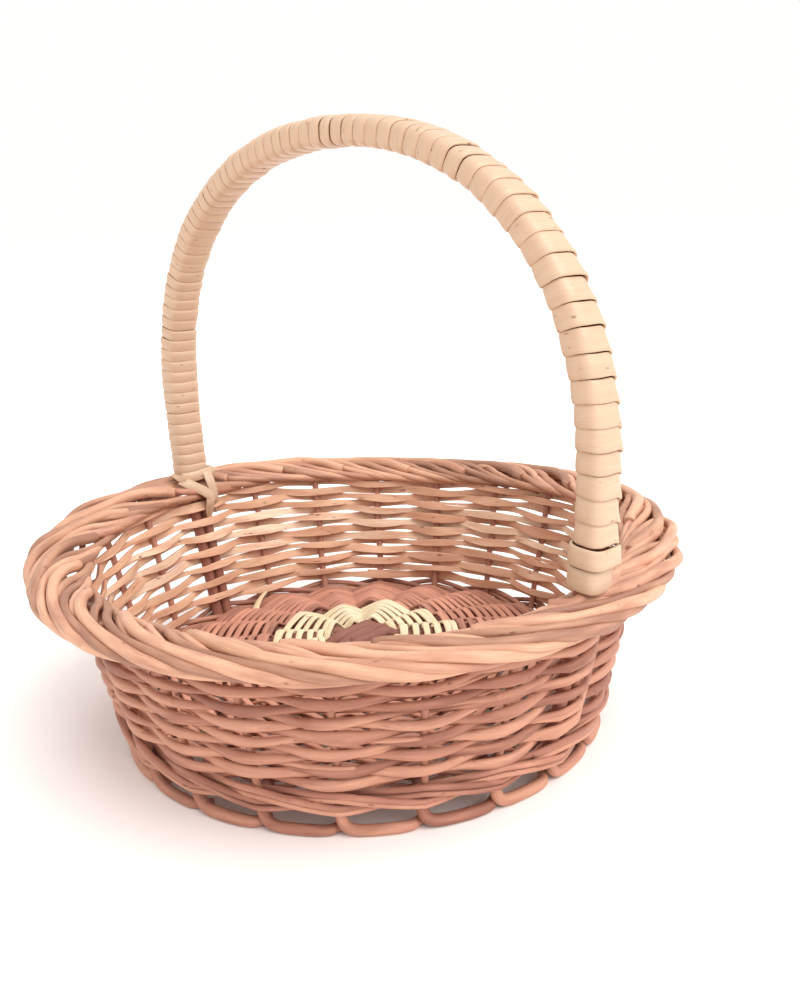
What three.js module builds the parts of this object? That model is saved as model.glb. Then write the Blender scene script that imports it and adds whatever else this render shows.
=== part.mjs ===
// A round wicker fruit basket with a fixed hoop handle. Millimetres, +Z up: the foot border stands on z = 0,
// the bowl's axis is the Z axis, and the handle crosses the bowl in the XZ plane.
import * as THREE from "three";

// Driving dimensions
const RIM_DIAMETER = 288;
const TOTAL_HEIGHT = 267;
const STAKE_POSITIONS = 22; // round the wall; the two on the X axis hold the handle's bow rods, not stakes
const STRAND_GAP = 0.35; // air left between strands that would press on each other

// Wall
const WALL_RADIUS_AT_FLOOR = 106.4; // of the circle of stakes, carried down to z = 0
const WALL_FLARE = 0.22; // radius gained per millimetre of height
const STAKE_RADIUS = 1.5;
const STAKE_BOTTOM = 7.6;
const STAKE_TOP = 76.6;
const WEAVE_ROWS = 15;
const WEAVE_FIRST_HEIGHT = 25.2;
const WEAVE_PITCH = 3.55;
const STRIP_THICKNESS = 2;
const STRIP_HEIGHT = 3;

// Three-rod wale round the bottom of the wall
const WALE_RODS = 3;
const WALE_HEIGHT = 17.5;
const WALE_RISE = 3.2; // of a rod above or below the middle of the wale
const WALE_ROD_RADIUS = 1.4;

// Foot border
const FOOT_RING_RADIUS = 106.2;
const FOOT_ROD_RADIUS = 3.3;
const FOOT_SIDES = 8;

// Base: two sets of three sticks crossed at the middle, fanned out into twelve spokes
const BASE_RADIUS = 103.4;
const BASE_EDGE_HEIGHT = 17.5;
const BASE_DOME = 15.5;
const STICKS_PER_SET = 3;
const STICK_RADIUS = 2.4;
const STICK_PITCH = 5.6; // between neighbouring sticks where they cross
const HUB_HALF_LENGTH = 10; // the sticks run parallel this far from the middle
const BAND_THICKNESS = 1.2;
const BAND_EDGES = [25, 35, 46, 74, BASE_RADIUS]; // from the first, the sticks are true spokes
const CREAM_BANDS = 2; // of the bands of weaving, counted from the middle

// Rolled border at the rim
const BORDER_STRANDS = 5;
const BORDER_TURNS = 4; // of each strand round the border's section, in one lap of the rim
const BORDER_HEIGHT = 84;
const BORDER_ROD_RADIUS = 2.4;
const BORDER_HALF_WIDTH = 10.65;
const BORDER_HALF_HEIGHT = 4.4;
const BORDER_SQUEEZED_HALF_WIDTH = 4.8; // outside the handle's feet
const SQUEEZE_FULL = THREE.MathUtils.degToRad(9.5); // angle from a foot where the squeeze is whole
const SQUEEZE_END = THREE.MathUtils.degToRad(25); // and where it has gone

// Handle: two bow rods and two liner rods in a square bundle, wrapped in flat cane
const HANDLE_HALF_SPAN = 129.7;
const HANDLE_WIDEST_HEIGHT = 136.5;
const HANDLE_FOOT_HALF_SPAN = 127.4;
const HANDLE_SQUARENESS = 2.21; // exponent of the arch's superellipse; 2 is an ellipse
const BOW_ROD_RADIUS = 2.8;
const BUNDLE_HALF_PITCH = 3; // from the bundle's centre line to a rod's, each way
const WRAP_CLEARANCE = 0.4;
const WRAP_THICKNESS = 1.3;
const WRAP_BOTTOM = 91.7;
const BOW_BOTTOM = 12;

// How finely curves are cut
const ROD_SIDES = 6;
const THIN_ROD_SIDES = 5;
const FOOT_STEPS = 44;
const BORDER_STEPS = 40;
const BAND_STEPS = 24; // one on each spoke and one between
const ARCH_STEPS = 30;

const UP = new THREE.Vector3(0, 0, 1);
const ACROSS = new THREE.Vector3(0, 1, 0);
const HALF_POSITIONS = STAKE_POSITIONS / 2;

const bark = { color: 0xc98f73, roughness: 0.62, metalness: 0 };
const split = { color: 0xe0b491, roughness: 0.68, metalness: 0 };
const cane = { color: 0xf0d9b4, roughness: 0.42, metalness: 0 };
const darkStick = { color: 0x8d5a48, roughness: 0.72, metalness: 0 };

function wallRadius(height) {
  return WALL_RADIUS_AT_FLOOR + WALL_FLARE * height;
}

function outwards(angle) {
  return new THREE.Vector3(Math.cos(angle), Math.sin(angle), 0);
}

// Outlines of strands, anticlockwise, as [first axis, second axis] pairs
function roundOutline(radius, sides, turn = 0) {
  return Array.from({ length: sides }, (_, i) => {
    const angle = turn + (2 * Math.PI * i) / sides;
    return [radius * Math.cos(angle), radius * Math.sin(angle)];
  });
}

function flatOutline(width, height) {
  const [w, h] = [width / 2, height / 2];
  return [[-w, -h], [w, -h], [w, h], [-w, h]];
}

// A square with round corners, centred on the four rods of the handle's bundle
function bundleOutline(cornerRadius) {
  const corner = [0, Math.PI / 4, Math.PI / 2];
  return [0, 1, 2, 3].flatMap((quarter) => {
    const start = (quarter * Math.PI) / 2;
    const middle = start + Math.PI / 4;
    const reach = BUNDLE_HALF_PITCH * Math.SQRT2;
    return corner.map((bend) => [
      reach * Math.cos(middle) + cornerRadius * Math.cos(start + bend),
      reach * Math.sin(middle) + cornerRadius * Math.sin(start + bend),
    ]);
  });
}

// A station is a place along a strand: its centre and the two axes of its outline, whose cross product
// points along the strand.
function ringOf({ centre, first, second }, outline) {
  return outline.map(([a, b]) => centre.clone().addScaledVector(first, a).addScaledVector(second, b));
}

function triangles(positions, index) {
  const geometry = new THREE.BufferGeometry();
  geometry.setAttribute("position", new THREE.Float32BufferAttribute(positions.flatMap((p) => p.toArray()), 3));
  geometry.setIndex(index);
  geometry.computeVertexNormals();
  return geometry;
}

// The faces between two rings of points, given by the numbers of their first points
function skin(here, next, sides) {
  return Array.from({ length: sides }, (_, k) => {
    const beside = (k + 1) % sides;
    return [here + k, here + beside, next + beside, here + k, next + beside, next + k];
  }).flat();
}

function sweep(stations, outline, closed = false) {
  const sides = outline.length;
  const points = stations.flatMap((station) => ringOf(station, outline));
  const last = (stations.length - 1) * sides;
  const index = stations.slice(1).flatMap((_, i) => skin(i * sides, (i + 1) * sides, sides));
  if (closed) {
    index.push(...skin(last, 0, sides));
  } else {
    for (let k = 1; k < sides - 1; k += 1) {
      index.push(0, k + 1, k, last, last + k, last + k + 1);
    }
  }
  return triangles(points, index);
}

// An open pipe with a wall between two outlines of the same number of points
function sleeve(stations, outer, inner) {
  const sides = outer.length;
  const inside = stations.length * sides;
  const rings = [outer, inner].flatMap((outline) => stations.flatMap((station) => ringOf(station, outline)));
  const last = inside - sides;
  const index = [];
  stations.slice(1).forEach((_, i) => {
    const [here, next] = [i * sides, (i + 1) * sides];
    index.push(...skin(here, next, sides), ...skin(inside + next, inside + here, sides));
  });
  index.push(...skin(inside, 0, sides), ...skin(last, inside + last, sides));
  return triangles(rings, index);
}

// A station on a strand that runs anticlockwise round the basket
function roundStation({ angle, radius, height }) {
  const out = outwards(angle);
  return { centre: out.clone().multiplyScalar(radius).setZ(height), first: UP, second: out };
}

function isHandlePosition(position) {
  return position % HALF_POSITIONS === 0;
}

// The angles at which a strand bends as it passes a stake position: one at a stake, and one to each side of
// the bow rods, which stand side by side.
function bendAngles(position) {
  const angle = (2 * Math.PI * position) / STAKE_POSITIONS;
  const spread = (2 * BUNDLE_HALF_PITCH) / WALL_RADIUS_AT_FLOOR;
  return isHandlePosition(position) ? [angle - spread, angle + spread] : [angle];
}

// How far from the circle of stakes a strand of this half thickness runs as it passes a position
function bendOffset(position, halfThickness) {
  const upright = isHandlePosition(position) ? BOW_ROD_RADIUS : STAKE_RADIUS;
  return upright + STRAND_GAP + halfThickness;
}

function makeStake(position) {
  const out = outwards((2 * Math.PI * position) / STAKE_POSITIONS);
  const along = new THREE.Vector3(-out.y, out.x, 0);
  const stations = [STAKE_BOTTOM, STAKE_TOP].map((height) => ({
    centre: out.clone().multiplyScalar(wallRadius(height)).setZ(height),
    first: out,
    second: along,
  }));
  return sweep(stations, roundOutline(STAKE_RADIUS, ROD_SIDES));
}

// One row of plain weaving: in front of one stake and behind the next, the other way about in the next row
function makeWeaveRow(row) {
  const height = WEAVE_FIRST_HEIGHT + WEAVE_PITCH * row;
  const stations = [];
  for (let position = 0; position < STAKE_POSITIONS; position += 1) {
    const side = (position + row) % 2 ? 1 : -1;
    const radius = wallRadius(height) + side * bendOffset(position, STRIP_THICKNESS / 2);
    for (const angle of bendAngles(position)) {
      stations.push(roundStation({ angle, radius, height }));
    }
  }
  return sweep(stations, flatOutline(STRIP_HEIGHT, STRIP_THICKNESS), true);
}

// A wale rod passes in front of two stakes, first high and then low, and behind the third.
function waleBends(step) {
  const [side, rise] = [[1, 1], [1, -1], [-1, 0]][step % WALE_RODS];
  const position = step % STAKE_POSITIONS;
  const height = WALE_HEIGHT + rise * WALE_RISE;
  const radius = wallRadius(height) + side * bendOffset(position, WALE_ROD_RADIUS);
  const lap = 2 * Math.PI * Math.floor(step / STAKE_POSITIONS);
  return bendAngles(position).map((angle) => ({ angle: angle + lap, radius, height }));
}

function between(from, to, share) {
  const mix = (key) => THREE.MathUtils.lerp(from[key], to[key], share);
  return { angle: mix("angle"), radius: mix("radius"), height: mix("height") };
}

// Each wale rod makes one lap, and the next one takes over where it ends, half way between two stakes.
function makeWaleRod(rod) {
  const start = HALF_POSITIONS / 2 + 0.5 + rod * STAKE_POSITIONS;
  const steps = Array.from({ length: STAKE_POSITIONS }, (_, i) => start + i);
  const endGap = 0.04;
  const before = waleBends(start + STAKE_POSITIONS * WALE_RODS - 1).at(-1);
  before.angle -= 2 * Math.PI * WALE_RODS;
  const bends = steps.flatMap(waleBends);
  bends.unshift(between(before, bends[0], 0.5 + endGap));
  bends.push(between(bends.at(-1), waleBends(start + STAKE_POSITIONS)[0], 0.5 - endGap));
  return sweep(bends.map(roundStation), roundOutline(WALE_ROD_RADIUS, THIN_ROD_SIDES));
}

function makeFootBorder() {
  const flatHeight = FOOT_ROD_RADIUS * Math.cos(Math.PI / FOOT_SIDES);
  const stations = Array.from({ length: FOOT_STEPS }, (_, i) =>
    roundStation({ angle: (2 * Math.PI * i) / FOOT_STEPS, radius: FOOT_RING_RADIUS, height: flatHeight }));
  return sweep(stations, roundOutline(FOOT_ROD_RADIUS, FOOT_SIDES, Math.PI / FOOT_SIDES), true);
}

function domeHeight(radius) {
  return BASE_EDGE_HEIGHT + BASE_DOME * (1 - (radius / BASE_RADIUS) ** 2);
}

// Where the two sets cross, one lies above the dome's middle surface and the other below it.
function makeBaseStick(set, place) {
  const direction = outwards((set * Math.PI) / 2);
  const leftwards = new THREE.Vector3(-direction.y, direction.x, 0);
  const fan = (place * Math.PI) / (2 * STICKS_PER_SET);
  const arm = [
    { along: HUB_HALF_LENGTH, aside: place * STICK_PITCH, lift: 1 },
    ...BAND_EDGES.map((r) => ({ along: r * Math.cos(fan), aside: r * Math.sin(fan), lift: 0 })),
  ];
  const half = (end) => arm.map((p) => ({ ...p, along: end * p.along }));
  const apart = (set ? 1 : -1) * (STICK_RADIUS + STRAND_GAP / 2);
  const stations = [...half(-1).reverse(), ...half(1)].map(({ along, aside, lift }) => ({
    centre: direction.clone().multiplyScalar(along).addScaledVector(leftwards, aside)
      .setZ(domeHeight(Math.hypot(along, aside)) + lift * apart),
    first: leftwards,
    second: UP,
  }));
  return sweep(stations, roundOutline(STICK_RADIUS, ROD_SIDES));
}

// A band of weaving round the base: over one spoke and under the next, the other way about in the next band
function makeBaseBand(band) {
  const [inner, outer] = [BAND_EDGES[band] + STRAND_GAP / 2, BAND_EDGES[band + 1] - STRAND_GAP / 2];
  const reach = STICK_RADIUS + STRAND_GAP + BAND_THICKNESS / 2;
  const edge = (angle, radius, rise) => outwards(angle).multiplyScalar(radius).setZ(domeHeight(radius) + rise);
  const stations = Array.from({ length: BAND_STEPS }, (_, i) => {
    const angle = (2 * Math.PI * i) / BAND_STEPS;
    const wave = Math.round(Math.cos((Math.PI * i) / 2));
    const rise = wave * (band % 2 ? -1 : 1) * reach;
    const from = edge(angle, inner, rise);
    const to = edge(angle, outer, rise);
    return { centre: from.clone().lerp(to, 0.5), first: UP, second: to.clone().sub(from).divideScalar(outer - inner) };
  });
  return sweep(stations, flatOutline(BAND_THICKNESS, outer - inner), true);
}

// One strand of the rolled border coils round the border's section as it goes round the rim. Beside the
// handle's feet the section is squeezed to pass outside them.
function makeBorderStrand(strand) {
  const stations = Array.from({ length: BORDER_STEPS }, (_, i) => {
    const angle = (2 * Math.PI * i) / BORDER_STEPS;
    const fromFoot = Math.abs(Math.asin(Math.sin(angle)));
    const squeeze = 1 - THREE.MathUtils.smoothstep(fromFoot, SQUEEZE_FULL, SQUEEZE_END);
    const halfWidth = THREE.MathUtils.lerp(BORDER_HALF_WIDTH, BORDER_SQUEEZED_HALF_WIDTH, squeeze);
    const middle = RIM_DIAMETER / 2 - BORDER_ROD_RADIUS - halfWidth;
    const phase = BORDER_TURNS * angle + (2 * Math.PI * strand) / BORDER_STRANDS;
    const radius = middle + halfWidth * Math.cos(phase);
    return roundStation({ angle, radius, height: BORDER_HEIGHT + BORDER_HALF_HEIGHT * Math.sin(phase) });
  });
  return sweep(stations, roundOutline(BORDER_ROD_RADIUS, ROD_SIDES, Math.PI / 2), true);
}

// Points on the arch from the -X side over the top to the +X side, as [x, z], a distance outside its centre line
function archPoints(outside) {
  const halfSpan = HANDLE_HALF_SPAN + outside;
  const rise = TOTAL_HEIGHT - bundleHalfSize() + outside - HANDLE_WIDEST_HEIGHT;
  const power = 2 / HANDLE_SQUARENESS;
  return Array.from({ length: ARCH_STEPS + 1 }, (_, i) => {
    const turn = Math.PI * (1 - i / ARCH_STEPS);
    const across = Math.cos(turn);
    const x = Math.sign(across) * halfSpan * Math.abs(across) ** power;
    return [x, HANDLE_WIDEST_HEIGHT + rise * Math.abs(Math.sin(turn)) ** power];
  });
}

function bundleHalfSize() {
  return BUNDLE_HALF_PITCH + BOW_ROD_RADIUS + WRAP_CLEARANCE + WRAP_THICKNESS;
}

// Stations along a line of [x, z] points in the plane y = aside: the first axis is Y, the second points away
// from the middle of the arch.
function archStations(points, aside) {
  return points.map(([x, z], i) => {
    const before = points[Math.max(i - 1, 0)];
    const after = points[Math.min(i + 1, points.length - 1)];
    const along = new THREE.Vector3(after[0] - before[0], 0, after[1] - before[1]).normalize();
    return { centre: new THREE.Vector3(x, aside, z), first: ACROSS, second: along.cross(ACROSS) };
  });
}

// The whole hoop on a line outside or inside the centre line, with feet given as [half span, height] pairs
// from the lowest upwards
function hoop(outside, feet) {
  return [
    ...feet.map(([halfSpan, z]) => [-halfSpan, z]),
    ...archPoints(outside),
    ...feet.toReversed().map(([halfSpan, z]) => [halfSpan, z]),
  ];
}

// A bow rod is pushed down into the wall like a stake and reaches the base.
function makeBowRod(aside) {
  const footHalfSpan = HANDLE_FOOT_HALF_SPAN - BUNDLE_HALF_PITCH;
  const feet = [[wallRadius(BOW_BOTTOM), BOW_BOTTOM], [wallRadius(STAKE_TOP), STAKE_TOP], [footHalfSpan, WRAP_BOTTOM]];
  return sweep(archStations(hoop(-BUNDLE_HALF_PITCH, feet), aside), roundOutline(BOW_ROD_RADIUS, ROD_SIDES));
}

function makeLinerRod(aside) {
  const feet = [[HANDLE_FOOT_HALF_SPAN + BUNDLE_HALF_PITCH, WRAP_BOTTOM + 1]];
  return sweep(archStations(hoop(BUNDLE_HALF_PITCH, feet), aside), roundOutline(BOW_ROD_RADIUS, ROD_SIDES));
}

function makeWrap() {
  const cavity = BOW_ROD_RADIUS + WRAP_CLEARANCE;
  const stations = archStations(hoop(0, [[HANDLE_FOOT_HALF_SPAN, WRAP_BOTTOM]]), 0);
  return sleeve(stations, bundleOutline(cavity + WRAP_THICKNESS), bundleOutline(cavity));
}

// The end of the wrapping cane, tied over the -X foot, hangs down inside the wall.
function makeTie() {
  const width = 4.5;
  const thickness = 0.9;
  const clearOfWrap = HANDLE_FOOT_HALF_SPAN - bundleHalfSize() - thickness;
  const clearOfWeave = wallRadius(STAKE_TOP) - 2 * bendOffset(0, STRIP_THICKNESS / 2);
  const points = [[-clearOfWeave, STAKE_TOP - 10], [-clearOfWeave - 1, STAKE_TOP + 5], [-clearOfWrap, WRAP_BOTTOM + 5]];
  return sweep(archStations(points, BUNDLE_HALF_PITCH), flatOutline(width, thickness));
}

const basket = new THREE.Group();

function add(name, geometry, finish) {
  const mesh = new THREE.Mesh(geometry, new THREE.MeshStandardMaterial(finish));
  mesh.name = name;
  basket.add(mesh);
}

const twoDigits = (number) => String(number).padStart(2, "0");

for (let position = 1, count = 0; position < STAKE_POSITIONS; position += 1) {
  if (!isHandlePosition(position)) {
    count += 1;
    add(`stake_${twoDigits(count)}`, makeStake(position), bark);
  }
}
for (let row = 0; row < WEAVE_ROWS; row += 1) {
  add(`weave_row_${twoDigits(row + 1)}`, makeWeaveRow(row), split);
}
for (let rod = 0; rod < WALE_RODS; rod += 1) {
  add(`wale_rod_${rod + 1}`, makeWaleRod(rod), bark);
}
add("foot_border", makeFootBorder(), bark);
for (let set = 0; set < 2; set += 1) {
  for (let place = -1; place <= 1; place += 1) {
    add(`base_stick_${set * STICKS_PER_SET + place + 2}`, makeBaseStick(set, place), darkStick);
  }
}
for (let band = 0; band < BAND_EDGES.length - 1; band += 1) {
  const cream = band < CREAM_BANDS;
  const name = cream ? `base_weave_cream_${band + 1}` : `base_weave_brown_${band + 1 - CREAM_BANDS}`;
  add(name, makeBaseBand(band), cream ? cane : split);
}
for (let strand = 0; strand < BORDER_STRANDS; strand += 1) {
  add(`border_strand_${strand + 1}`, makeBorderStrand(strand), bark);
}
[-BUNDLE_HALF_PITCH, BUNDLE_HALF_PITCH].forEach((aside, i) => {
  add(`handle_bow_rod_${i + 1}`, makeBowRod(aside), darkStick);
  add(`handle_liner_rod_${i + 1}`, makeLinerRod(aside), darkStick);
});
add("handle_wrap", makeWrap(), cane);
add("handle_tie", makeTie(), cane);

export default basket;
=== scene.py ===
"""How the woven fruit basket looks: every strand of willow and cane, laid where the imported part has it.

Metres, +Z up, as in the part. Places round the basket are counted in stake spacings, anticlockwise from +X:
stake number 5 stands at place 5. The handle's feet stand at place 0 and on the opposite side.
"""

import math

import bpy
import numpy as np
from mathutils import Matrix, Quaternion, Vector
from mathutils.bvhtree import BVHTree


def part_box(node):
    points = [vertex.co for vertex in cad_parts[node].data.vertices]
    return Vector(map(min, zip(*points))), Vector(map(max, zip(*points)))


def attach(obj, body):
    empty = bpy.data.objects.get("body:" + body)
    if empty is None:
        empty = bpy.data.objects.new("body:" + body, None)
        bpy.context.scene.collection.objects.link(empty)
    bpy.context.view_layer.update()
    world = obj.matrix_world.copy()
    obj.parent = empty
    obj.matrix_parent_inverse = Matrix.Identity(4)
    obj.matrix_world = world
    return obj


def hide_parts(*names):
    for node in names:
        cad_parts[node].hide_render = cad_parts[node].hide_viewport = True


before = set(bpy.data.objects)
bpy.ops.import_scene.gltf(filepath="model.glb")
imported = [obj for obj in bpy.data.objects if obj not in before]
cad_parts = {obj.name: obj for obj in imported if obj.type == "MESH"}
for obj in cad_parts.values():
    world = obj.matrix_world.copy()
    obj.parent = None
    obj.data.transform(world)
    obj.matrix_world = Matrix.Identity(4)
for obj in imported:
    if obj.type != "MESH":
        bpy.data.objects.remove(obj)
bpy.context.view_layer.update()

MM = 0.001
SEED = 11
BODY = "root"

# Strands
STAKE_WIDTH = 3.2 * MM
STRIP_HEIGHT = 4.9 * MM
STRIP_THICKNESS = 2.2 * MM
STRIP_OVERLAP = 1.2  # of one strip with the next in its row, in stake spacings
STRIPS_IN_ROW = 3
TOP_ROW_LIFT = 2 * MM  # of the top row above the part's, up to the border; the others rise in proportion
WALE_WIDTH = 2.7 * MM
WALE_DROP = 1.2 * MM  # of the wale below the part's, down to the base's edge
BORDER_WIDTH = 3.6 * MM
BUTT_WIDTH = 5.0 * MM
BORDER_HALF_WIDTH = 11.4 * MM  # of the rods' middle lines, from the section's own middle
BORDER_HALF_HEIGHT = 3.2 * MM
# How many millimetres the rods of the stakes at a few places stand off, or if it is negative, are drawn in
BORDER_LOOPS = {9: 3.0, 10: 6.0, 11: 5.0, 20: -1.5, 21: -3.0, 0: -3.0, 1: -1.5}
CLEARANCE = 0.15 * MM
STEPS = 14  # stations on a strand between two stakes
END_BEVEL = 0.72  # size of a strand's end face, as a share of its section
FOOT_SPREAD = 0.42  # how far a handle's foot pushes the weaving aside, in stake spacings

# Base
STICK_WIDTH = 6.0 * MM
SPOKE_WIDTH = 5.2 * MM
BASE_STRIP_WIDTH = 3.2 * MM
BASE_STRIP_THICKNESS = 1.3 * MM
CREAM_START = 17 * MM
CREAM_END = 44.4 * MM
CREAM_PITCH = 5.2 * MM
CREAM_SPOKES = 12
BROWN_START = 47 * MM
BROWN_PITCH = 5.0 * MM

# Rim
RIM_WAVES = [  # (place, spread in places, rise)
    (11, 2.4, 4.0 * MM),
    (7.5, 1.6, -2.3 * MM),
    (3, 2.0, 4.0 * MM),
]

# Handle's wrap
WRAP_ACROSS = 17.4 * MM
WRAP_DEPTH = 12.6 * MM
WRAP_THICKNESS = 1.5 * MM
WRAP_PITCH_LEFT = 5.6 * MM
WRAP_PITCH_RIGHT = 8.8 * MM
WRAP_SQUARENESS = 3.4  # exponent of the section's superellipse; 2 is a circle
WRAP_STEPS = 40  # stations in one turn
WRAP_EXTRA = 7 * MM  # how much further down the wrap goes at the +X foot than the part's
CANE_WIDTH = 5.2 * MM
CANE_THICKNESS = 1.1 * MM

# Camera, as an orbit round a point near the bowl's middle
CAMERA_TARGET = Vector((14.4, 14.2, 100.5)) * MM
CAMERA_DISTANCE = 477.5 * MM
CAMERA_AZIMUTH = math.radians(44.46)
CAMERA_ELEVATION = math.radians(16.25)
CAMERA_ROLL = math.radians(-2.36)
CAMERA_LENS = 38.0

UP = np.array([0, 0, 1.0])
SIDEWAYS = np.array([0, 1.0, 0])


# Measures taken from the frame


def nodes_named(start):
    return sorted(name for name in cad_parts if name.startswith(start))


def middle_of(node, start, direction):
    """The middle of a CAD strand where a line crosses it, halfway between its near and far sides."""
    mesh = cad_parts[node].data
    tree = BVHTree.FromPolygons([v.co for v in mesh.vertices], [p.vertices for p in mesh.polygons])
    near = tree.ray_cast(start, direction)[0]
    far = tree.ray_cast(start + direction, -direction)[0]
    return (near + far) / 2


STAKES = nodes_named("stake_")
ROWS = nodes_named("weave_row_")
PLACES = len(STAKES) + 2
FEET = (0, PLACES // 2)
SPACING = 2 * math.pi / PLACES


def outwards(place):
    """Unit vectors away from the basket's axis at these places."""
    angle = np.asarray(place, float) * SPACING
    return np.stack([np.cos(angle), np.sin(angle), np.zeros_like(angle)], -1)


def at(place, radius, height):
    """Points at these places, radii and heights."""
    place, radius, height = np.broadcast_arrays(place, radius, height)
    points = outwards(place) * radius[..., None]
    points[..., 2] = height
    return points


def measure_wall():
    """The stakes' circle: its radius at the floor and what it gains for each metre of height."""
    place = 5
    stake = STAKES[place - 1]
    low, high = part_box(stake)
    inset = 2 * MM  # from the stake's ends
    heights = [low.z + inset, high.z - inset]
    radii = [middle_of(stake, Vector((0, 0, z)), Vector(outwards(place))).xy.length for z in heights]
    flare = (radii[1] - radii[0]) / (heights[1] - heights[0])
    return radii[0] - flare * heights[0], flare


WALL_RADIUS_AT_FLOOR, WALL_FLARE = measure_wall()


def wall_radius(height):
    return WALL_RADIUS_AT_FLOOR + WALL_FLARE * height


def middle_height(node):
    low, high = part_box(node)
    return (low.z + high.z) / 2


def span_of(names):
    """(lowest corner, highest corner) of several CAD nodes together."""
    boxes = [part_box(name) for name in names]
    low = Vector([min(box[0][i] for box in boxes) for i in range(3)])
    high = Vector([max(box[1][i] for box in boxes) for i in range(3)])
    return low, high


# Shapes of strands


def unit(vectors):
    return vectors / np.linalg.norm(vectors, axis=-1, keepdims=True)


def smoothstep(low, high, value):
    share = np.clip((value - low) / (high - low), 0, 1)
    return share * share * (3 - 2 * share)


def through(points, steps):
    """A smooth curve through rows of numbers, with this many steps between two rows."""
    points = np.asarray(points, float)
    padded = np.concatenate([[2 * points[0] - points[1]], points, [2 * points[-1] - points[-2]]])
    before, start, end, after = padded[:-3], padded[1:-2], padded[2:-1], padded[3:]
    share = (np.arange(steps) / steps)[:, None, None]
    curve = (
        start
        + 0.5 * share * (end - before)
        + share**2 * (before - 2.5 * start + 2 * end - 0.5 * after)
        + share**3 * (1.5 * start - 1.5 * end + 0.5 * after - 0.5 * before)
    )
    return np.concatenate([curve.transpose(1, 0, 2).reshape(-1, points.shape[1]), points[-1:]])


def straight(points, steps):
    """The straight lines between rows of numbers, with this many steps between two rows."""
    rows = np.arange(len(points))
    fine = np.arange((len(points) - 1) * steps + 1) / steps
    return np.stack([np.interp(fine, rows, column) for column in points.T], -1)


def travelled_along(points):
    """How far along a line of points each of them is."""
    return np.concatenate([[0], np.cumsum(np.linalg.norm(np.diff(points, axis=0), axis=1))])


def along_line(points, distances):
    """Points at these distances along a line of points."""
    return np.stack([np.interp(distances, travelled_along(points), column) for column in points.T], -1)


def wobble(rng, places, size):
    """A slow random sway of about this size along a strand."""
    waves = [0.74, 1.66, 3.22]
    return size * sum(np.sin(wave * np.asarray(places) + rng.uniform(0, 7)) for wave in waves) / 2


def round_section(sides=12):
    """(outline one unit across, how far each point lies on a split face)"""
    angle = np.arange(sides) * 2 * np.pi / sides
    return np.stack([np.cos(angle), np.sin(angle)], -1) / 2, np.zeros(sides)


def split_section(sides=8):
    """A rod split lengthwise: a flat face on the inside of the bend, and the round bark side outside."""
    flat = [(-0.455, -0.5), (-0.41, -0.5), (0.41, -0.5), (0.455, -0.5)]
    angle = np.linspace(0, 1, sides) * np.pi
    back = [(0.5 * math.cos(a), -0.38 + 0.88 * abs(math.sin(a)) ** 0.75) for a in angle]
    return np.array(flat + back), np.array([1.0] * len(flat) + [0.0] * len(back))


def cane_section():
    """Flat cane: a flat back, a crowned front and round edges."""
    back = [(-0.45, -0.5), (0.45, -0.5)]
    front = [(0.495, -0.25), (0.5, 0.0), (0.475, 0.2), (0.41, 0.34), (0.25, 0.45), (0, 0.5)]
    front += [(-x, y) for x, y in front[-2::-1]]
    return np.array(back + front), np.zeros(len(back) + len(front))


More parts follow.
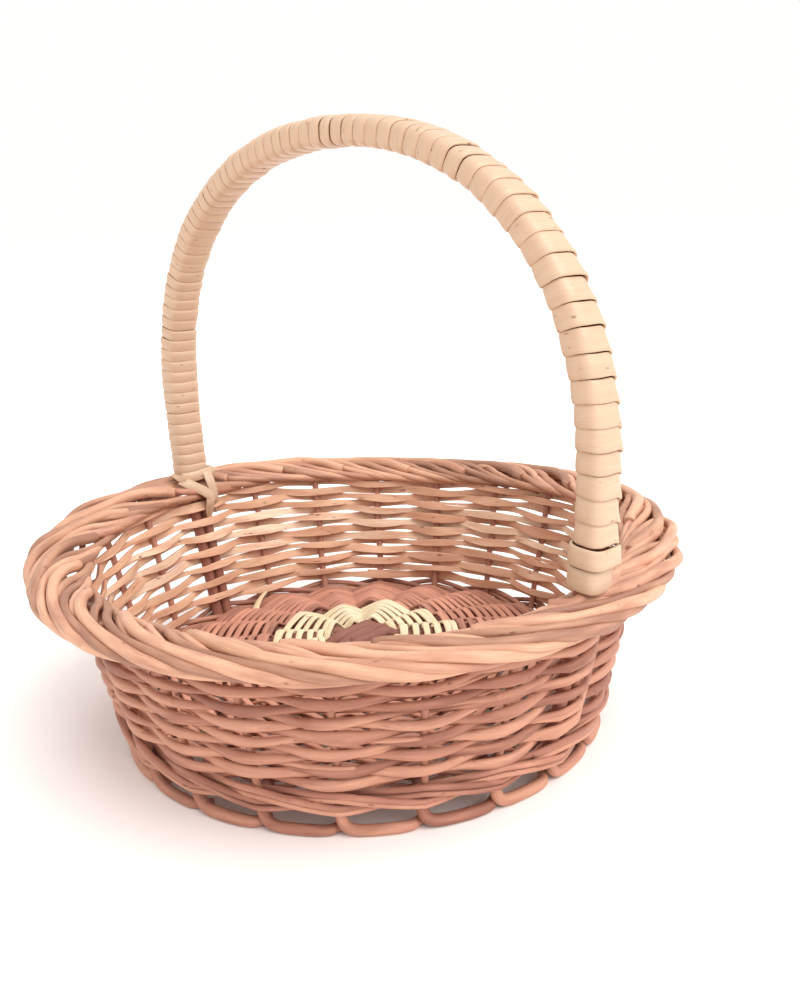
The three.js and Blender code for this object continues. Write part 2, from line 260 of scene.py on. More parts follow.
class Strands:
    """The strands of one piece, gathered into one mesh. Each point also holds its place in the fibre, in
    metres along the strand and across it both ways ("grain"), its strand's tone from 0 to 1 ("tone"), and
    whether it lies on a split face ("pith")."""

    def __init__(self, seed):
        self.rng = np.random.default_rng([SEED, seed])
        self.points, self.grain, self.tone, self.pith, self.faces = [], [], [], [], []

    def lay(self, centres, upright, section, width, thickness, tone=None):
        """Sweeps a section along the centres. Its width stays near the upright direction."""
        centres = np.asarray(centres, float)
        along = unit(np.gradient(centres, axis=0))
        second = unit(np.cross(along, upright))
        first = np.cross(second, along)
        outline, pith = section
        count, sides = len(centres), len(outline)
        size = np.stack([np.broadcast_to(width, count), np.broadcast_to(thickness, count)], -1)
        flat = outline[None] * size[:, None]
        rings = centres[:, None] + flat[..., :1] * first[:, None] + flat[..., 1:] * second[:, None]
        ends = centres[[0, -1], None]
        bevelled = ends + (rings[[0, -1]] - ends) * END_BEVEL
        rings = np.concatenate([bevelled[:1], rings, bevelled[1:]])
        travelled = np.pad(travelled_along(centres), 1, mode="edge") + self.rng.uniform(0, 40)
        flat = np.pad(flat, ((1, 1), (0, 0), (0, 0)), mode="edge")
        grain = np.concatenate([np.broadcast_to(travelled[:, None, None], flat.shape[:2] + (1,)), flat], -1)
        start = sum(len(p) for p in self.points)
        numbers = start + np.arange((count + 2) * sides).reshape(count + 2, sides)
        here, beside = numbers[:-1], np.roll(numbers[:-1], -1, axis=1)
        ahead, beyond = numbers[1:], np.roll(numbers[1:], -1, axis=1)
        self.faces += np.stack([here, beside, beyond, ahead], -1).reshape(-1, 4).tolist()
        self.faces += [numbers[0][::-1].tolist(), numbers[-1].tolist()]
        self.points.append(rings.reshape(-1, 3))
        self.grain.append(grain.reshape(-1, 3))
        self.tone.append(np.full((count + 2) * sides, self.rng.random() if tone is None else tone))
        self.pith.append(np.tile(pith, count + 2))

    def piece(self, name, material, slot, *nodes):
        """Makes the object, which stands for these CAD nodes."""
        mesh = bpy.data.meshes.new(name)
        mesh.from_pydata(np.concatenate(self.points), [], self.faces)
        mesh.polygons.foreach_set("use_smooth", [True] * len(mesh.polygons))
        attributes = [
            ("grain", "FLOAT_VECTOR", "vector", self.grain),
            ("tone", "FLOAT", "value", self.tone),
            ("pith", "FLOAT", "value", self.pith),
        ]
        for key, kind, field, values in attributes:
            attribute = mesh.attributes.new(key, kind, "POINT")
            attribute.data.foreach_set(field, np.concatenate(values).astype(np.float32).ravel())
        mesh.materials.append(material)
        piece = bpy.data.objects.new(name, mesh)
        bpy.context.scene.collection.objects.link(piece)
        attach(piece, BODY)
        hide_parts(*nodes)


# Materials


def colour(code):
    """Linear RGBA from a hexadecimal sRGB colour."""
    channels = [int(code[i:i + 2], 16) / 255 for i in (0, 2, 4)]
    return [c / 12.92 if c <= 0.04045 else ((c + 0.055) / 1.055) ** 2.4 for c in channels] + [1]


class Nodes:
    """A short way to write a material's node tree."""

    def __init__(self, name):
        self.material = bpy.data.materials.new(name)
        self.material.use_nodes = True
        self.tree = self.material.node_tree
        self.shader = self.tree.nodes["Principled BSDF"]

    def add(self, kind, inputs=None, **settings):
        node = self.tree.nodes.new(kind)
        for key, value in settings.items():
            setattr(node, key, value)
        for key, value in (inputs or {}).items():
            self.put(value, node.inputs[key])
        return node

    def put(self, value, socket):
        if isinstance(value, bpy.types.NodeSocket):
            self.tree.links.new(value, socket)
        else:
            socket.default_value = value

    def attribute(self, name, output):
        return self.add("ShaderNodeAttribute", attribute_name=name).outputs[output]

    def noise(self, place, waves, detail):
        """Noise with this many waves in a metre, along the strand and across it both ways."""
        scaled = self.add("ShaderNodeMapping", {"Vector": place, "Scale": waves})
        noise = self.add("ShaderNodeTexNoise", {"Vector": scaled.outputs[0], "Scale": 1.0, "Detail": detail})
        return noise.outputs["Fac"]

    def ramp(self, value, codes):
        """These colours, evenly spaced, as the value goes from 0 to 1."""
        ramp = self.add("ShaderNodeValToRGB", {"Fac": value})
        elements = ramp.color_ramp.elements
        while len(elements) < len(codes):
            elements.new(0.5)
        for number, (element, code) in enumerate(zip(elements, codes)):
            element.position = number / (len(codes) - 1)
            element.color = colour(code)
        return ramp.outputs["Color"]

    def mix(self, share, first, second):
        """A mix of two colours, which are this node's inputs 6 and 7 and its output 2."""
        node = self.add("ShaderNodeMix", {"Factor": share, 6: first, 7: second}, data_type="RGBA")
        return node.outputs[2]

    def spread(self, value, low, high, out_low, out_high):
        ends = {"From Min": low, "From Max": high, "To Min": out_low, "To Max": out_high}
        return self.add("ShaderNodeMapRange", {"Value": value, **ends}).outputs[0]


def fibre(name, bark, streak, knot, streaks, roughness, bump, split=None):
    """Willow or cane: its strand's own tone of bark, blotches, long fibres and dark knots. A strand that was
    split lengthwise has paler tones on its flat face. Streaks is how strongly the fibres show."""
    n = Nodes(name)
    grain = n.attribute("grain", "Vector")
    tone = n.attribute("tone", "Fac")
    blotches = n.noise(grain, (45, 260, 260), 3.0)
    fibres = n.noise(grain, (110, 2600, 2600), 4.0)
    specks = n.noise(grain, (170, 420, 420), 1.5)
    change = n.spread(blotches, 0.3, 0.7, -0.22, 0.22)
    blotched = n.add("ShaderNodeMath", {0: tone, 1: change}, operation="ADD").outputs[0]
    base = n.ramp(blotched, bark)
    if split:
        base = n.mix(n.attribute("pith", "Fac"), base, n.ramp(blotched, split))
    streaked = n.mix(n.spread(fibres, 0.42, 0.75, 0.0, streaks), base, colour(streak))
    knotted = n.mix(n.spread(specks, 0.70, 0.77, 0.0, 0.75), streaked, colour(knot))
    n.put(knotted, n.shader.inputs["Base Color"])
    n.put(n.spread(fibres, 0.3, 0.7, roughness - 0.07, roughness + 0.12), n.shader.inputs["Roughness"])
    relief = n.add("ShaderNodeBump", {"Height": fibres, "Strength": bump, "Distance": 0.25 * MM})
    n.put(relief.outputs["Normal"], n.shader.inputs["Normal"])
    return n.material


def bark_rod_material():
    return fibre(
        "bark_rod",
        bark=["9b6e58", "c08f72", "dcaa8b", "b78269"],
        streak="9c6651",
        knot="744637",
        streaks=0.22,
        roughness=0.5,
        bump=0.35,
    )


def wall_strip_material():
    return fibre(
        "wall_strip",
        bark=["925d4b", "b77e67", "cd957a", "a56c59"],
        split=["d29b7b", "e6ba99", "dba989", "f1d2b4"],
        streak="9d6a53",
        knot="754636",
        streaks=0.35,
        roughness=0.55,
        bump=0.4,
    )


def stake_material():
    return fibre(
        "stake",
        bark=["a9735e", "b8816a", "af7761"],
        streak="8f5c49",
        knot="6b3f36",
        streaks=0.3,
        roughness=0.55,
        bump=0.35,
    )


def dark_stick_material():
    return fibre(
        "dark_stick",
        bark=["815144", "935f50", "885647"],
        streak="653b31",
        knot="462720",
        streaks=0.45,
        roughness=0.6,
        bump=0.5,
    )


def bow_rod_material():
    return fibre(
        "bow_rod",
        bark=["8a5140", "9c6350", "8f5846"],
        streak="70402f",
        knot="4a291e",
        streaks=0.4,
        roughness=0.55,
        bump=0.4,
    )


def brown_base_material():
    return fibre(
        "brown_base",
        bark=["9a6755", "d5967c", "b27a63"],
        streak="8a5443",
        knot="64392d",
        streaks=0.4,
        roughness=0.55,
        bump=0.4,
    )


def cream_base_material():
    return fibre(
        "cream_base",
        bark=["dfc9a2", "ead9b8", "e4d2ac"],
        streak="bd996c",
        knot="97734e",
        streaks=0.35,
        roughness=0.5,
        bump=0.35,
    )


def cane_material():
    return fibre(
        "cane",
        bark=["c8a687", "d0b295", "ccab8f", "d4b99e"],
        streak="bc9171",
        knot="744b36",
        streaks=0.3,
        roughness=0.36,
        bump=0.3,
    )


# Wall


def from_foot(place):
    """How far a place is from the nearer of the handle's feet, in stake spacings."""
    return np.abs((np.asarray(place) + PLACES / 4) % (PLACES / 2) - PLACES / 4)


def at_foot(place):
    """How near a place is to one of the handle's feet, from 0 to 1."""
    return np.exp(-((from_foot(place) / FOOT_SPREAD) ** 2))


def rim_lift(place):
    """How much higher than level the rim stands: it was drawn up at the -X foot and beside the +X foot, and
    sags between them."""
    lift = 0
    for middle, spread, rise in RIM_WAVES:
        away = (np.asarray(place) - middle + PLACES / 2) % PLACES - PLACES / 2
        lift = lift + rise * np.exp(-((away / spread) ** 2))
    return lift


def upright_radius(place):
    """Half the width of what stands in the wall: a stake, or the wider bow rods at the handle's feet."""
    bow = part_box("handle_bow_rod_1")
    bow_radius = (bow[1].y - bow[0].y) / 2
    return STAKE_WIDTH / 2 + (bow_radius - STAKE_WIDTH / 2) * at_foot(place)


def wall_slant(places):
    return outwards(places) * WALL_FLARE + UP


def make_stakes(material):
    """A stake at every place but the handle's feet, from the part's lower end up into the border."""
    top = span_of(nodes_named("border_strand_"))[0].z + 3 * MM
    places = [place for place in range(PLACES) if place not in FEET]
    for number, (place, node) in enumerate(zip(places, STAKES)):
        stake = Strands(100 + number)
        heights = np.linspace(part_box(node)[0].z, top + rim_lift(place), 24)
        swayed = place + wobble(stake.rng, heights * 60, 0.012)
        width = STAKE_WIDTH * stake.rng.uniform(0.92, 1.08)
        stake.lay(at(swayed, wall_radius(heights), heights), outwards(place), round_section(), width, width)
        stake.piece(f"willow_{node}", material, "bark_rod", node)


def lay_row_strip(row, number, start, end, height):
    """One strip of a row, in front of one stake and behind the next. It starts thin and low, under the end of
    the strip before, and ends thin and high. It looks narrower where it passes between two stakes."""
    places = np.arange(start * STEPS, end * STEPS + 1) / STEPS
    side = -np.cos(np.pi * (places + number))
    side = np.clip(side * (1 + 0.3 * at_foot(places)), -1, 1)
    begun = smoothstep(0, STRIP_OVERLAP, places - start)
    to_come = smoothstep(0, STRIP_OVERLAP, end - places)
    whole = np.minimum(begun, to_come)
    thickness = STRIP_THICKNESS * row.rng.uniform(0.94, 1.06) * (0.55 + 0.45 * whole)
    rise = (begun - to_come) * 0.25 * STRIP_HEIGHT + wobble(row.rng, places * 1.5, 0.75 * MM)
    rise = rise - 0.5 * MM * np.clip(side, 0, 1)
    reach = upright_radius(places) + STRIP_THICKNESS / 2 + CLEARANCE
    tall = STRIP_HEIGHT * row.rng.uniform(0.8, 1.18) * (0.3 + 0.7 * whole)
    tall = tall * (0.96 + 0.08 * side) * (0.72 + 0.28 * np.abs(side))
    tall = tall * (1 + wobble(row.rng, places * 2, 0.17))
    drawn = rim_lift(places) * smoothstep(25 * MM, 80 * MM, height)
    heights = height + rise + drawn
    centres = at(places, wall_radius(heights) + side * reach, heights)
    twist = outwards(places) * wobble(row.rng, places * 1.3, 0.22)[:, None]
    row.lay(centres, wall_slant(places) + twist, split_section(), tall, thickness)


def make_rows(material):
    heights = np.linspace(middle_height(ROWS[0]), middle_height(ROWS[-1]) + TOP_ROW_LIFT, len(ROWS))
    for number, (node, height) in enumerate(zip(ROWS, heights)):
        row = Strands(200 + number)
        first = row.rng.integers(0, PLACES)
        for strip in range(STRIPS_IN_ROW):
            start = first + round(PLACES * strip / STRIPS_IN_ROW)
            end = first + round(PLACES * (strip + 1) / STRIPS_IN_ROW) + STRIP_OVERLAP
            lay_row_strip(row, number, start, end, height)
        row.piece(f"split_willow_row_{number + 1:02d}", material, "split_willow", node)


def make_wale(material):
    """Three pairs of rods, each in front of two stakes, high and then low, and behind the third."""
    nodes = nodes_named("wale_rod_")
    low, high = span_of(nodes)
    middle = (low.z + high.z) / 2 - WALE_DROP
    climb = (high.z - low.z) / 2 - WALE_WIDTH / 2
    sides = [1, 1, -1]
    rises = [1, -1, 0]
    knots = np.arange(-1, PLACES + 2)
    for number, node in enumerate(nodes):
        pair = Strands(300 + number)
        turn = (knots + number * PLACES) % len(nodes)
        reach = (upright_radius(knots) + WALE_WIDTH / 2) * np.take(sides, turn)
        for above in (-0.5, 0.5):
            loose = pair.rng.uniform(-0.5, 0.5, len(knots)) * MM
            corners = np.stack([knots, reach, climb * np.take(rises, turn) + loose], -1)
            line = 0.35 * through(corners, STEPS) + 0.65 * straight(corners, STEPS)
            places, offset, rise = line[STEPS // 2:-STEPS // 2].T
            heights = middle + rise + above * 1.02 * WALE_WIDTH
            width = WALE_WIDTH * pair.rng.uniform(0.92, 1.05)
            centres = at(places, wall_radius(heights) + offset, heights)
            pair.lay(centres, wall_slant(places), round_section(), width, width)
        pair.piece(f"willow_{node}", material, "bark_rod", node)


def make_foot(material):
    """Each stake's lower end bends along the floor and tucks in behind the next one's bend."""
    low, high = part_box("foot_border")
    width = high.z - low.z
    ring = high.x - width / 2
    foot = Strands(400)
    path = [  # stake spacings on from its stake, then out from the ring's middle line and up, in rod widths
        (-0.03, 0.42, 2.90),
        (0.00, 0.40, 1.60),
        (0.04, 0.39, 1.02),
        (0.13, 0.40, 0.64),
        (0.32, 0.41, 0.51),
        (0.80, 0.38, 0.50),
        (0.93, 0.05, 0.50),
        (1.05, -0.42, 0.50),
    ]
    on, out, up = through(path, 7).T
    for place in range(PLACES):
        thick = width * foot.rng.uniform(0.72, 0.84)
        places = place + on * (1 + foot.rng.uniform(-0.05, 0.05))
        tapered = thick * (1 - 0.2 * smoothstep(0.6, 1.12, on))
        heights = low.z + np.maximum(up * thick, tapered / 2)
        centres = at(places, ring + out * width, heights)
        foot.lay(centres, UP + 0.3 * outwards(places), round_section(14), tapered, tapered)
    foot.piece("willow_foot_border", material, "bark_rod", "foot_border")


# Base


def measure_dome():
    """(radius, height of the edge, height of the middle) of the surface that the base's strands weave about.
    Where the two sets of sticks cross, it runs between the second stick and the fifth, which lies on it."""
    low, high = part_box("base_stick_2")
    half_stick = (high.y - low.y) / 2
    edge = low.z + half_stick
    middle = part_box("base_stick_5")[1].z - 2 * half_stick
    return high.x, edge, middle


DOME_RADIUS, DOME_EDGE, DOME_TOP = measure_dome()


def dome(radius):
    return DOME_EDGE + (DOME_TOP - DOME_EDGE) * (1 - (radius / DOME_RADIUS) ** 2)


def lay_weaver(weave, angle, radius, spokes, side, reach):
    """A strip that goes over one spoke and under the next, through these angles and radii. It runs nearly
    straight from spoke to spoke: an arcsine takes the roundness out of its wave."""
    radius = radius + wobble(weave.rng, angle * 3, 0.35 * MM)
    wave = side * np.cos(angle * spokes / 2)
    sharpness = 0.97
    rise = 0.35 * wave + 0.65 * np.arcsin(sharpness * wave) / math.asin(sharpness)
    height = dome(radius) + reach * rise + side * 0.35 * BASE_STRIP_THICKNESS
    place = angle / SPACING
    width = BASE_STRIP_WIDTH * (0.86 + 0.14 * np.abs(rise)) * (1 + wobble(weave.rng, angle * 2, 0.08))
    weave.lay(at(place, radius, height), -outwards(place), cane_section(), width, BASE_STRIP_THICKNESS)


def lay_loose_end(weave):
    """The cut end of a cream strip that comes up through the brown weaving near its edge."""
    share = np.linspace(0, 1, 12)
    place = 10.9 - 0.7 * share
    radius = (84 + 19 * share) * MM
    height = dome(radius) + (2.5 + 5.5 * share) * MM
    width = BASE_STRIP_WIDTH * (1.1 - 0.6 * share)
    upright = np.cross(outwards(place), UP)
    weave.lay(at(place, radius, height), upright, cane_section(), width, BASE_STRIP_THICKNESS)


def lay_spirals(weave, start, end, pitch, spokes, stick):
    """Two spirals between two radii, one over the spokes that the other goes under. Each is made of many
    strips, which overlap a little. A spiral's first and last laps keep to the zone's edges."""
    growth = end - start - pitch / 2
    laps = growth / pitch
    reach = 1.2 * (stick + BASE_STRIP_THICKNESS) / 2
    for side in (-1, 1):
        begun = start + (side > 0) * pitch / 2
        first = -1.0
        while first < laps + 1:
            last = min(first + weave.rng.uniform(0.8, 1.4), laps + 1)
            lap = np.arange(first, last + 0.05, 1 / (spokes * 12))
            radius = begun + np.clip(lap * pitch, 0, growth)
            lay_weaver(weave, lap * 2 * np.pi, radius, spokes, side, reach)
            first = last


def make_cream_weave(material):
    weave = Strands(500)
    lay_spirals(weave, CREAM_START, CREAM_END, CREAM_PITCH, CREAM_SPOKES, STICK_WIDTH)
    lay_loose_end(weave)
    weave.piece("base_weave_cream", material, "white_cane", *nodes_named("base_weave_cream"))


def make_brown_weave(material):
    weave = Strands(501)
    lay_spirals(weave, BROWN_START, DOME_RADIUS, BROWN_PITCH, PLACES, SPOKE_WIDTH)
    weave.piece("base_weave_brown", material, "split_willow", *nodes_named("base_weave_brown"))


def make_base_sticks(material):
    """Two sets of three thick sticks cross at the middle and fan out as spokes under the cream weaving."""
    hub = 1.6 * STICK_WIDTH
    reach = np.array([0, 0.5 * hub, hub, 18 * MM, 28 * MM, 40 * MM, 52 * MM])
    in_hub = reach <= hub
    for number, node in enumerate(nodes_named("base_stick_")):
        stick = Strands(600 + number)
        crossing, beside = divmod(number, 3)
        beside -= 1
        fan = beside * 2 * np.pi / CREAM_SPOKES
        aside = np.where(in_hub, beside * STICK_WIDTH, reach * math.sin(fan))
        along = np.where(in_hub, reach, reach * math.cos(fan))
        lift = in_hub * (STICK_WIDTH if crossing else -STICK_WIDTH) / 2
        lift = lift - 2.5 * MM * smoothstep(38 * MM, 52 * MM, reach)
        line = np.stack([along, aside, dome(np.hypot(along, aside)) + lift], -1)
        mirrored = line[:0:-1] * [-1, 1, 1]
        local = through(np.concatenate([mirrored, line]), 6)
        turn = crossing * PLACES / 4
        left = outwards(turn + PLACES / 4)
        centres = local[:, :1] * outwards(turn) + local[:, 1:2] * left + local[:, 2:] * UP
        stick.lay(centres, left, round_section(), STICK_WIDTH * 1.05, STICK_WIDTH * 0.85)
        stick.piece(f"willow_{node}", material, "dark_stick", node)


def make_spokes(material):
    """The stakes' butts, pushed in beside the twelve spokes, run on under the brown weaving to the edge."""
    spokes = Strands(650)
    radius = np.linspace(BROWN_START - 2 * MM, DOME_RADIUS + 3 * MM, 20)
    for place in range(PLACES):
        width = SPOKE_WIDTH * spokes.rng.uniform(0.9, 1.05)
        swayed = place + wobble(spokes.rng, radius * 30, 0.03)
        spokes.lay(at(swayed, radius, dome(radius)), UP, round_section(8), 0.8 * width, width)
    spokes.piece("willow_base_spokes", material, "dark_stick")


# Rolled border


def keep_off_feet(places, radii):
    """Radii with room for the handle's feet: rods that would meet one pass inside or outside it."""
    foot_radius = wall_radius(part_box(STAKES[0])[1].z)
    off = radii - foot_radius
    need = 5.0 * MM * (1 - smoothstep(0.28, 1.0, from_foot(places)))
    return foot_radius + np.tanh(off / (1.2 * MM)) * np.maximum(np.abs(off), need)


def measure_border():
    """(radius, height) of the middle of the border's section"""
    low, high = span_of(nodes_named("border_strand_"))
    return high.x - BORDER_WIDTH / 2 - BORDER_HALF_WIDTH, low.z + 4.7 * MM


BORDER_RADIUS, BORDER_LEVEL = measure_border()


def lay_border_rod(group, place, roll, width, standing):
    """A rod of the border. The roll is given as stake spacings on from its place, then where it lies in the
    border's section, out and up from the middle in half widths and half heights."""
    on, out, up = through(roll, 6).T
    places = place + on + wobble(group.rng, on, 0.03)
    loop = standing * np.exp(-(((on - 2.5) / 0.6) ** 2))
    tapered = width * group.rng.uniform(0.94, 1.06) * (1 - 0.14 * smoothstep(1.5, 4.5, on))
    out = out * BORDER_HALF_WIDTH + wobble(group.rng, on * 1.3, 0.25 * MM) + loop
    radii = keep_off_feet(places, BORDER_RADIUS + out)
    up = up * BORDER_HALF_HEIGHT + 0.3 * loop + wobble(group.rng, on, 0.25 * MM)
    heights = BORDER_LEVEL + up + rim_lift(places)
    group.lay(at(places, radii, heights), UP + 0.4 * outwards(places), round_section(), tapered, tapered)


def make_border(material):
    """From each stake three rods rise inside the rim and cross over it. Two of them dive in under older rods,
    and the third lies down the outside, beside a thicker rod whose blunt butt shows on the inner edge."""
    nodes = nodes_named("border_strand_")
    over = [
        (0.00, -0.68, -1.35),
        (0.15, -0.78, -0.90),
        (0.40, -0.96, -0.58),
        (0.72, -1.02, -0.18),
        (1.02, -0.88, 0.28),
        (1.25, -0.60, 0.70),
        (1.42, -0.28, 1.05),
    ]
    diving = over + [
        (1.60, 0.04, 1.02),
        (1.80, 0.34, 0.55),
        (2.05, 0.52, 0.02),
        (2.50, 0.52, -0.45),
        (3.10, 0.30, -0.80),
    ]
    outside = [
        (2.00, 0.48, 1.02),
        (2.55, 0.82, 0.72),
        (2.95, 1.00, 0.04),
        (3.36, 0.84, -0.72),
        (3.95, 0.38, -1.04),
        (4.50, -0.20, -1.05),
    ]
    lying = over + [(1.66, 0.12, 1.18)] + outside
    butt = [
        (0.98, -0.74, 0.70),
        (1.12, -0.54, 1.02),
        (1.34, -0.20, 1.45),
        (1.62, 0.18, 1.42),
    ] + outside
    for place in range(PLACES):
        group = Strands(700 + place)
        beside_foot = 0.2 if place in FEET else 0
        standing = BORDER_LOOPS.get(place, group.rng.choice([0, 0, 0, 0.8])) * MM
        for aside, roll in ((-0.26, diving), (0.0, lying), (0.24, diving)):
            start = place + aside + beside_foot + group.rng.uniform(-0.03, 0.03)
            lay_border_rod(group, start, roll, BORDER_WIDTH, standing)
        start = place + 0.52 + group.rng.uniform(-0.04, 0.04)
        lay_border_rod(group, start, butt, BUTT_WIDTH, standing / 2)
        group.piece(f"border_rods_{place + 1:02d}", material, "bark_rod", nodes[place % len(nodes)])


# Handle


def measure_arch():
    """Points close together on the middle line of the handle's wrap, from the -X foot to the +X foot."""
    hub = Vector((0, 0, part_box("handle_wrap")[0].z + 1 * MM))
    turns = np.linspace(math.pi, 0, 240)
    rays = [Vector((math.cos(turn), 0, math.sin(turn))) for turn in turns]
    points = np.array([middle_of("handle_wrap", hub, ray) for ray in rays])
    reach = 9  # points on either side, over which the CAD line's corners are rounded off
    before = 2 * points[0] - points[reach:0:-1]
    after = 2 * points[-1] - points[-2:-reach - 2:-1]
    padded = np.concatenate([before, points, after])
    kernel = np.ones(2 * reach + 1) / (2 * reach + 1)
    return np.stack([np.convolve(column, kernel, "valid") for column in padded.T], -1)


ARCH = measure_arch()


def turn_edges(rng, length):
    """Distances along the wrap where its turns meet: they are closer on the -X leg than on the +X one."""
    edges = [0.0]
    while edges[-1] < length:
        share = smoothstep(0.35, 0.8, edges[-1] / length)
        pitch = WRAP_PITCH_LEFT + (WRAP_PITCH_RIGHT - WRAP_PITCH_LEFT) * share
        edges.append(edges[-1] + pitch * rng.uniform(0.92, 1.08))
    return np.array(edges) * length / edges[-1]


def superellipse(angle, half_across, half_depth):
    """(across, out) at these angles round the wrap's section"""
    power = 2 / WRAP_SQUARENESS
    across = np.sign(np.cos(angle)) * np.abs(np.cos(angle)) ** power * half_across
    out = np.sign(np.sin(angle)) * np.abs(np.sin(angle)) ** power * half_depth
    return across[:, None], out[:, None]


def make_wrap(material):
    """Flat cane wound round the handle's rods. Each turn is a little random in width, in how far it stands
    off and in its tilt. At the +X foot the cane goes on down between the border's rods, where the last turn
    stands off further and the end is tucked in."""
    wrap = Strands(800)
    line = np.concatenate([ARCH, ARCH[-1:] + [-0.6 * MM, 0, -WRAP_EXTRA]])
    edges = turn_edges(wrap.rng, travelled_along(line)[-1])
    pitches = np.diff(edges)
    middles = (edges[1:] + edges[:-1]) / 2
    turns = np.arange(len(pitches))
    steps = np.arange(0, len(pitches) - 1, 1 / WRAP_STEPS)
    turn_share = steps % 1
    crossover = smoothstep(0.8, 1.2, turn_share) + smoothstep(-0.2, 0.2, turn_share) - 1
    evenly = 0.45  # of the step to the next turn is taken all the way round, and the rest on one side
    laid = np.floor(steps) + evenly * (turn_share - 0.5) + (1 - evenly) * crossover
    distance = np.interp(laid + 0.5, turns, middles)
    gapped = wrap.rng.random(len(pitches)) < 0.22
    fill = np.where(gapped, 0.93, wrap.rng.uniform(1.02, 1.08, len(pitches)))  # width as a share of the pitch
    fill[-3:-1] = 0.96, 0.82
    width = np.interp(steps, turns, pitches * fill)
    swell = np.interp(steps, turns, wrap.rng.uniform(-0.35, 0.35, len(pitches)) * MM)
    to_end = steps[-1] - steps
    swell += 1.3 * MM * (1 - smoothstep(1.6, 1.9, to_end)) - 2.6 * MM * (1 - smoothstep(0, 0.7, to_end))
    tilt = np.interp(steps, turns, wrap.rng.uniform(0.04, 0.12, len(pitches)))
    half_across = (WRAP_ACROSS - WRAP_THICKNESS) / 2 + swell
    half_depth = (WRAP_DEPTH - WRAP_THICKNESS) / 2 + swell
    across, out = superellipse(-steps * 2 * np.pi, half_across, half_depth)
    ahead = unit(along_line(line, distance + 2 * MM) - along_line(line, distance - 2 * MM))
    from_middle = across * SIDEWAYS + out * np.cross(ahead, SIDEWAYS)
    centres = along_line(line, distance) + from_middle
    upright = -ahead - tilt[:, None] * unit(from_middle)
    wrap.lay(centres, upright, cane_section(), width, WRAP_THICKNESS, 0.5)
    wrap.piece("cane_wrap", material, "white_cane", "handle_wrap")


def make_bow_rods(material):
    """Two rods side by side go down inside the weave from each foot to the base."""
    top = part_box("handle_wrap")[0].z + 6 * MM
    for number, node in enumerate(nodes_named("handle_bow_rod_")):
        low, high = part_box(node)
        middle = (low.y + high.y) / 2
        width = high.y - low.y
        starts = [Vector((0, middle, height)) for height in np.linspace(low.z + 0.5 * MM, top, 30)]
        rods = Strands(820 + number)
        for side in (-1, 1):
            points = np.array([middle_of(node, start, Vector((side, 0, 0))) for start in starts])
            rods.lay(points, SIDEWAYS, round_section(), width, width)
        rods.piece(f"willow_{node}", material, "dark_stick", node)


def make_liner_rods(material):
    """Two rods fill out the wrap's corners from foot to foot."""
    for number, node in enumerate(nodes_named("handle_liner_rod_")):
        low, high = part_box(node)
        width = high.y - low.y
        aside = math.copysign(WRAP_ACROSS / 2 - WRAP_THICKNESS - width / 2, low.y + high.y)
        rod = Strands(830 + number)
        rod.lay(ARCH[::4] + aside * SIDEWAYS, SIDEWAYS, round_section(), width, width)
        rod.piece(f"willow_{node}", material, "dark_stick", node)


def make_tie(material):
    """The cane crosses over itself at the -X foot, and its two cut ends hang inside the wall."""
    low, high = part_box("handle_wrap")
    leg = middle_of("handle_wrap", Vector((0, 0, low.z + 3 * MM)), Vector((-1, 0, 0)))
    face = leg.x + (high.y - low.y) / 2
    crossed = [  # (across, inwards from the wrap's inner face, up from its lower edge), in millimetres
        [
            (-10, -9, 4),
            (-9.3, -2, 3.2),
            (-4, 0.1, 3),
            (2, 0.3, 3.4),
            (8, -0.2, 3.8),
            (9.9, -3, 4),
            (10, -9, 4),
        ],
        [
            (-9.8, -3, 1.5),
            (-8.0, 1.2, 0),
            (-2, 3.4, -4),
            (3, 4.6, -8.5),
            (5.2, 3.0, -12),
            (4.0, -1.5, -13),
        ],
    ]
    hanging = [
        [(4.4, 0.5, 4), (4.8, 3.2, -2), (6.4, 3.0, -9), (8.4, 0.4, -15), (9.6, -1.5, -20)],
        [(3.2, 4.4, -7.5), (2.2, 4.8, -12), (2.6, 2.4, -18), (3.6, 0.2, -26)],
    ]
    tie = Strands(840)
    for strips, narrowing in ((crossed, 0), (hanging, 0.85)):
        for strip in strips:
            across, inwards, up = through(strip, 8).T * MM
            points = np.stack([face + inwards, across, low.z + up], -1)
            upright = np.cross(unit(np.gradient(points, axis=0)), [1.0, 0, 0.2])
            width = CANE_WIDTH * (1 - narrowing * smoothstep(0.55, 1, np.linspace(0, 1, len(points))))
            tie.lay(points, upright, cane_section(), width, CANE_THICKNESS)
    tie.piece("cane_tie", material, "white_cane", "handle_tie")


# Studio


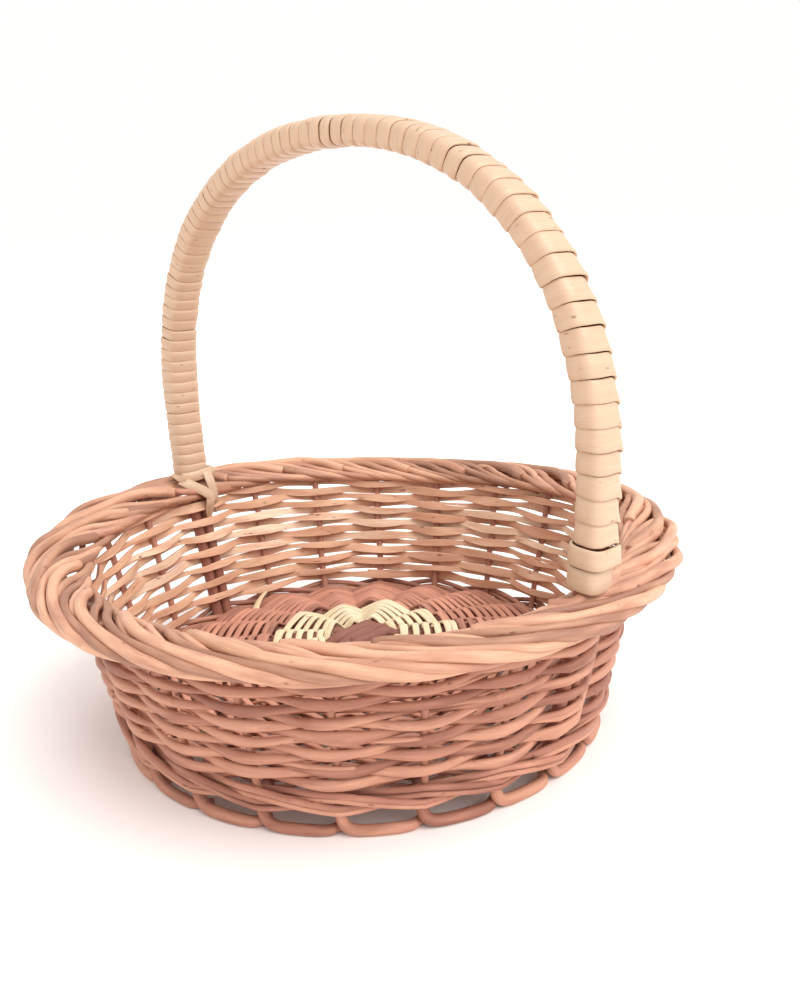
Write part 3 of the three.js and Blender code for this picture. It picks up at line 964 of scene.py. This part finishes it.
def make_floor():
    mesh = bpy.data.meshes.new("floor")
    half = 6.0
    corners = [(-half, -half, 0), (half, -half, 0), (half, half, 0), (-half, half, 0)]
    mesh.from_pydata(corners, [], [(0, 1, 2, 3)])
    floor = bpy.data.objects.new("floor", mesh)
    bpy.context.scene.collection.objects.link(floor)
    n = Nodes("floor")
    n.shader.inputs["Base Color"].default_value = colour("fdf8f5")
    n.shader.inputs["Roughness"].default_value = 0.9
    n.shader.inputs["Specular IOR Level"].default_value = 0.1
    mesh.materials.append(n.material)


def make_studio():
    make_floor()
    sun = bpy.data.lights.new("sun", "SUN")
    sun.energy = 2.5
    sun.angle = math.radians(60)
    lamp = bpy.data.objects.new("sun", sun)
    lamp.rotation_mode = "QUATERNION"
    lamp.rotation_quaternion = Vector((0.8, 0.1, 1)).to_track_quat("Z", "Y")
    bpy.context.scene.collection.objects.link(lamp)
    world = bpy.data.worlds.new("studio")
    world.use_nodes = True
    background = world.node_tree.nodes["Background"]
    background.inputs["Color"].default_value = (1.0, 0.985, 0.975, 1)
    background.inputs["Strength"].default_value = 1.02
    bpy.context.scene.world = world
    bpy.context.scene.view_settings.view_transform = "Standard"


def make_camera():
    back = Vector((
        math.sin(CAMERA_AZIMUTH) * math.cos(CAMERA_ELEVATION),
        -math.cos(CAMERA_AZIMUTH) * math.cos(CAMERA_ELEVATION),
        math.sin(CAMERA_ELEVATION),
    ))
    camera = bpy.data.objects.new("camera", bpy.data.cameras.new("camera"))
    camera.data.lens = CAMERA_LENS
    camera.location = CAMERA_TARGET + back * CAMERA_DISTANCE
    camera.rotation_mode = "QUATERNION"
    camera.rotation_quaternion = (-back).to_track_quat("-Z", "Y") @ Quaternion((0, 0, 1), CAMERA_ROLL)
    bpy.context.scene.collection.objects.link(camera)
    bpy.context.scene.camera = camera


make_studio()
make_camera()
bark_rod = bark_rod_material()
dark_stick = dark_stick_material()
bow_rod = bow_rod_material()
cane = cane_material()
make_stakes(stake_material())
wall_strip = wall_strip_material()
make_rows(wall_strip)
make_wale(wall_strip)
make_foot(wall_strip)
make_cream_weave(cream_base_material())
make_brown_weave(brown_base_material())
make_base_sticks(dark_stick)
make_spokes(dark_stick)
make_border(bark_rod)
make_wrap(cane)
make_bow_rods(bow_rod)
make_liner_rods(bow_rod)
make_tie(cane)
